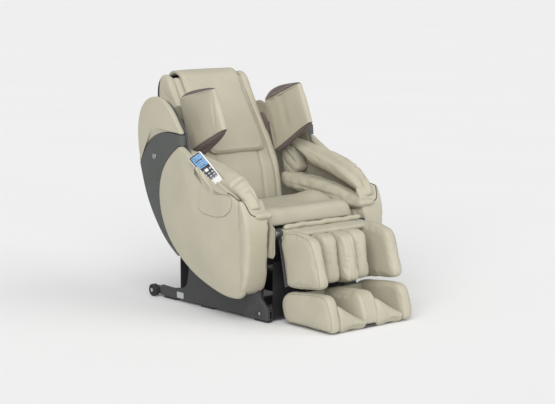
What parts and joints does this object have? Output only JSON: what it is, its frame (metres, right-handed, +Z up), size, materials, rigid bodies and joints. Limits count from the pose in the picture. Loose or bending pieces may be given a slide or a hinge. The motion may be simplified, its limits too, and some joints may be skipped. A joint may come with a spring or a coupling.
{
  "type": "massage chair",
  "caption": "Upholstered reclining massage chair with padded arms and shoulder wings, roller backrest, a lifting calf rest and a sliding foot rest on a steel base.",
  "frame": {"origin": "on the floor under the centre of the chair's box", "axes": "+Z up, +Y towards the back of the chair (the sitter faces -Y), +X to the sitter's left"},
  "size_m": [0.9198, 1.316, 1.125],
  "materials": {
    "cream_leather": "satin synthetic leather, fine grain",
    "cream_cloth": "soft matt knit",
    "cream_shell": "satin, leather-grained skin",
    "dark_shell": "satin moulded",
    "base_cover": "fine moulded grain",
    "steel_frame": "black powder coat",
    "bright_steel": "turned",
    "black_rubber": "matt",
    "black_plastic": "satin",
    "white_plastic": "gloss",
    "screen_glass": "gloss",
    "grey_label": "satin",
    "chrome_badge": "polished",
    "roller_plastic": "smooth"
  },
  "bodies": {
    "base": {"base_frame": "steel_frame", "uprights": "steel_frame", "pivot_pins": "bright_steel", "side_covers": "base_cover", "corner_covers": "base_cover", "cover_screws": "bright_steel", "rating_plate": "grey_label", "front_panel": "black_plastic", "rear_panel": "base_cover", "floor_feet": "black_rubber", "wheel_brackets": "steel_frame", "wheel_axles": "bright_steel", "control_box": "black_plastic", "air_pump": "black_plastic", "power_inlet": "black_plastic", "seat_pan": "steel_frame", "seat_cushion": "cream_leather", "side_flaps": "cream_cloth", "side_shells": "dark_shell", "side_bands": "dark_shell", "side_panels": "cream_shell", "lobe_panels": "cream_shell", "badges": "chrome_badge", "arm_cores": "cream_leather", "arm_lower_pads": "cream_leather", "arm_upper_pads": "cream_leather", "pocket_flap": "cream_leather", "recline_drive": "black_plastic", "leg_drive": "black_plastic"},
    "backrest": {"back_frame": "steel_frame", "guide_rails": "bright_steel", "lift_screw": "bright_steel", "back_shell": "dark_shell", "wall_bumpers": "black_rubber", "back_pad": "cream_leather", "back_bolsters": "cream_leather", "head_pad": "cream_leather", "shoulder_wings": "cream_leather"},
    "carriage": {"massage_carriage": "black_plastic"},
    "arms": {"roller_arms": "steel_frame"},
    "upper_pair": {"upper_rollers": "roller_plastic"},
    "lower_pair": {"lower_rollers": "roller_plastic"},
    "legrest": {"calf_frame": "steel_frame", "calf_wings": "cream_leather", "calf_divider": "cream_leather", "calf_pads": "cream_leather", "knee_roll": "cream_leather"},
    "footrest": {"foot_frame": "steel_frame", "foot_wings": "cream_leather", "foot_divider": "cream_leather", "foot_pads": "cream_leather"},
    "recline_push": {"recline_rod": "bright_steel"},
    "leg_push": {"leg_rod": "bright_steel"},
    "left_wheel": {"wheel_l": "black_rubber"},
    "right_wheel": {"wheel_r": "black_rubber"},
    "remote": {"remote_body": "white_plastic", "remote_screen": "screen_glass"},
    "start_key": {"remote_start_key": "white_plastic"},
    "rocker": {"power_switch": "black_plastic"}
  },
  "joints": [
    {"name": "recline", "type": "hinge", "parent": "base", "child": "backrest", "pos_m": [0, 0.268, 0.4], "axis": [-1, 0, 0], "range_deg": [0, 45]},
    {"name": "leg_lift", "type": "hinge", "parent": "base", "child": "legrest", "pos_m": [0, -0.29, 0.425], "axis": [-1, 0, 0], "range_deg": [0, 72]},
    {"name": "foot_extend", "type": "slide", "parent": "legrest", "child": "footrest", "axis": [0, -0.2079, -0.9781], "range_m": [0, 0.11]},
    {"name": "massage_travel", "type": "slide", "parent": "backrest", "child": "carriage", "axis": [0, 0.4553, 0.8904], "range_m": [0, 0.21]},
    {"name": "roller_rock", "type": "hinge", "parent": "carriage", "child": "arms", "pos_m": [0, 0.41584, 0.65951], "axis": [1, 0, 0], "range_deg": [-8, 8]},
    {"name": "upper_roller_spin", "type": "hinge", "parent": "arms", "child": "upper_pair", "pos_m": [0, 0.42664, 0.71577], "axis": [1, 0, 0], "continuous": true},
    {"name": "lower_roller_spin", "type": "hinge", "parent": "arms", "child": "lower_pair", "pos_m": [0, 0.37656, 0.61783], "axis": [1, 0, 0], "continuous": true},
    {"name": "recline_rod_slide", "type": "slide", "parent": "base", "child": "recline_push", "axis": [0, -1, 0], "range_m": [0, 0.07754]},
    {"name": "leg_rod_slide", "type": "slide", "parent": "base", "child": "leg_push", "axis": [0, -1, 0], "range_m": [0, 0.09505]},
    {"name": "left_wheel_spin", "type": "hinge", "parent": "base", "child": "left_wheel", "pos_m": [0.313, 0.601, 0.033], "axis": [1, 0, 0], "continuous": true},
    {"name": "right_wheel_spin", "type": "hinge", "parent": "base", "child": "right_wheel", "pos_m": [-0.313, 0.601, 0.033], "axis": [1, 0, 0], "continuous": true},
    {"name": "remote_lift", "type": "slide", "parent": "base", "child": "remote", "axis": [-0.075, 0.7832, 0.6172], "range_m": [0, 0.08]},
    {"name": "start_key_press", "type": "slide", "parent": "remote", "child": "start_key", "axis": [0.6454, 0.5099, -0.5687], "range_m": [0, 0.0015], "stiffness_N_per_m": 400},
    {"name": "power_rock", "type": "hinge", "parent": "base", "child": "rocker", "pos_m": [0.2, 0.445, 0.11], "axis": [1, 0, 0], "range_deg": [-6, 6]}
  ],
  "couplings": [
    {"joint": "recline_rod_slide", "follows": "recline", "m_per_rad": 0.09745},
    {"joint": "leg_rod_slide", "follows": "leg_lift", "m_per_rad": 0.07484}
  ]
}
